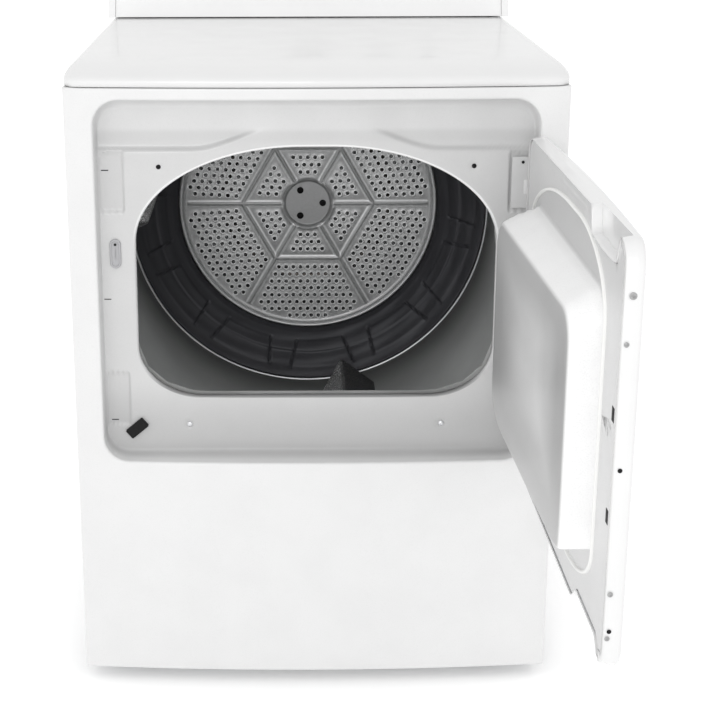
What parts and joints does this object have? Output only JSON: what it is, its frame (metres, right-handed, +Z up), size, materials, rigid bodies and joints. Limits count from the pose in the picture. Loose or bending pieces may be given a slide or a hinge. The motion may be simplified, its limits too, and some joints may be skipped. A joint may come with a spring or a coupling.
{
  "type": "clothes dryer",
  "caption": "Front-loading tumble clothes dryer with a bowed front, a recessed swing door standing open, a perforated drum back and a rear control console.",
  "frame": {"origin": "centre of the underside of the base pan, in plan the centre of the cabinet body", "axes": "+Z up, +Y from the door towards the back, +X to the right of someone facing the door"},
  "size_m": [0.686, 1.3115, 1.0995],
  "materials": {
    "white_enamel": "gloss white enamel",
    "galvanised_steel": "satin galvanised",
    "bright_steel": "bright plated",
    "dark_drum_coat": "dark speckled semi-gloss coat",
    "drum_coat": "grey semi-gloss coat",
    "dark_plastic": "black",
    "grey_plastic": "satin grey",
    "white_plastic": "satin white",
    "felt": "felt",
    "white_rubber": "soft white",
    "belt_rubber": "matt black",
    "motor_enamel": "dark enamel",
    "bronze": "sintered",
    "heater_alloy": "heat stained"
  },
  "bodies": {
    "cabinet": {"base_pan": "galvanised_steel", "blower_housing": "galvanised_steel", "console_fascia": "grey_plastic", "console_housing": "white_enamel", "console_left_cap": "white_plastic", "console_right_cap": "white_plastic", "cycle_timer": "grey_plastic", "door_catch": "grey_plastic", "door_switch_body": "dark_plastic", "drive_belt": "belt_rubber", "drum_glide_left": "white_plastic", "drum_glide_right": "white_plastic", "exhaust_duct": "galvanised_steel", "front_bulkhead": "galvanised_steel", "front_felt_seal": "felt", "front_panel": "white_enamel", "heater_element": "heater_alloy", "heater_housing": "galvanised_steel", "idler_bracket": "galvanised_steel", "left_side_panel": "white_enamel", "lint_duct": "galvanised_steel", "lower_hinge_body_leaf": "bright_steel", "motor_body": "motor_enamel", "motor_mount": "galvanised_steel", "rear_bearing": "bronze", "rear_panel": "galvanised_steel", "right_side_panel": "white_enamel", "terminal_block": "dark_plastic", "terminal_cover": "galvanised_steel", "top_panel": "white_enamel", "upper_hinge_body_leaf": "bright_steel"},
    "door": {"door_outer_panel": "white_enamel", "door_inner_panel": "white_enamel", "door_seal": "white_rubber", "door_strike": "bright_steel", "upper_hinge_door_leaf": "bright_steel", "lower_hinge_door_leaf": "bright_steel"},
    "drum": {"drum_shell": "drum_coat", "drum_rear_wall": "dark_drum_coat", "perforated_disc": "galvanised_steel", "drum_shaft": "bright_steel", "hub_screw_1": "dark_plastic", "hub_screw_2": "dark_plastic", "hub_screw_3": "dark_plastic", "baffle_1": "dark_drum_coat", "baffle_2": "dark_drum_coat", "baffle_3": "dark_drum_coat"},
    "rotor": {"motor_shaft": "bright_steel", "blower_wheel": "grey_plastic"},
    "idler": {"idler_pulley": "white_plastic"},
    "tension_arm": {"idler_arm": "bright_steel"},
    "cycle_dial": {"cycle_knob": "white_plastic"},
    "temperature_dial": {"temperature_knob": "white_plastic"},
    "start": {"start_button": "grey_plastic"},
    "lint_screen": {"lint_filter": "grey_plastic"},
    "switch_plunger": {"door_switch_lever": "dark_plastic"},
    "front_left_leveller": {"foot_front_left": "dark_plastic"},
    "front_right_leveller": {"foot_front_right": "dark_plastic"},
    "rear_left_leveller": {"foot_rear_left": "dark_plastic"},
    "rear_right_leveller": {"foot_rear_right": "dark_plastic"}
  },
  "joints": [
    {"name": "door_hinge", "type": "hinge", "parent": "cabinet", "child": "door", "pos_m": [0.2995, -0.3535, 0.5795], "axis": [0, 0, 1], "range_deg": [-90.4, 25]},
    {"name": "drum_spin", "type": "hinge", "parent": "cabinet", "child": "drum", "pos_m": [0, 0, 0.5659], "axis": [0, 1, 0], "continuous": true},
    {"name": "motor_spin", "type": "hinge", "parent": "cabinet", "child": "rotor", "pos_m": [0.085, 0, 0.125], "axis": [0, 1, 0], "continuous": true},
    {"name": "idler_arm_pivot", "type": "hinge", "parent": "cabinet", "child": "tension_arm", "pos_m": [0, -0.0065, 0.095], "axis": [0, 1, 0], "range_deg": [0, 12], "stiffness_Nm_per_rad": 0.6, "springref_deg": -22.92},
    {"name": "idler_spin", "type": "hinge", "parent": "tension_arm", "child": "idler", "pos_m": [-0.05, 0, 0.15], "axis": [0, 1, 0], "continuous": true},
    {"name": "cycle_knob_turn", "type": "hinge", "parent": "cabinet", "child": "cycle_dial", "pos_m": [0, 0.26225, 0.9925], "axis": [0, -0.949, 0.3154], "continuous": true},
    {"name": "temperature_knob_turn", "type": "hinge", "parent": "cabinet", "child": "temperature_dial", "pos_m": [0.1225, 0.26225, 0.9925], "axis": [0, -0.949, 0.3154], "range_deg": [-60, 60]},
    {"name": "start_button_press", "type": "slide", "parent": "cabinet", "child": "start", "axis": [0, 0.949, -0.3154], "range_m": [0, 0.004], "stiffness_N_per_m": 200, "springref_m": -0.002},
    {"name": "lint_filter_lift", "type": "slide", "parent": "cabinet", "child": "lint_screen", "axis": [0, 0, 1], "range_m": [0, 0.172]},
    {"name": "door_switch_press", "type": "slide", "parent": "cabinet", "child": "switch_plunger", "axis": [0, 1, 0], "range_m": [0, 0.004], "stiffness_N_per_m": 150, "springref_m": -0.002},
    {"name": "front_left_foot_screw", "type": "slide", "parent": "cabinet", "child": "front_left_leveller", "axis": [0, 0, -1], "range_m": [0, 0.02]},
    {"name": "front_right_foot_screw", "type": "slide", "parent": "cabinet", "child": "front_right_leveller", "axis": [0, 0, -1], "range_m": [0, 0.02]},
    {"name": "rear_left_foot_screw", "type": "slide", "parent": "cabinet", "child": "rear_left_leveller", "axis": [0, 0, -1], "range_m": [0, 0.02]},
    {"name": "rear_right_foot_screw", "type": "slide", "parent": "cabinet", "child": "rear_right_leveller", "axis": [0, 0, -1], "range_m": [0, 0.02]}
  ],
  "couplings": [
    {"joint": "motor_spin", "follows": "drum_spin", "ratio": 22.469},
    {"joint": "idler_spin", "follows": "drum_spin", "ratio": 13.5}
  ]
}
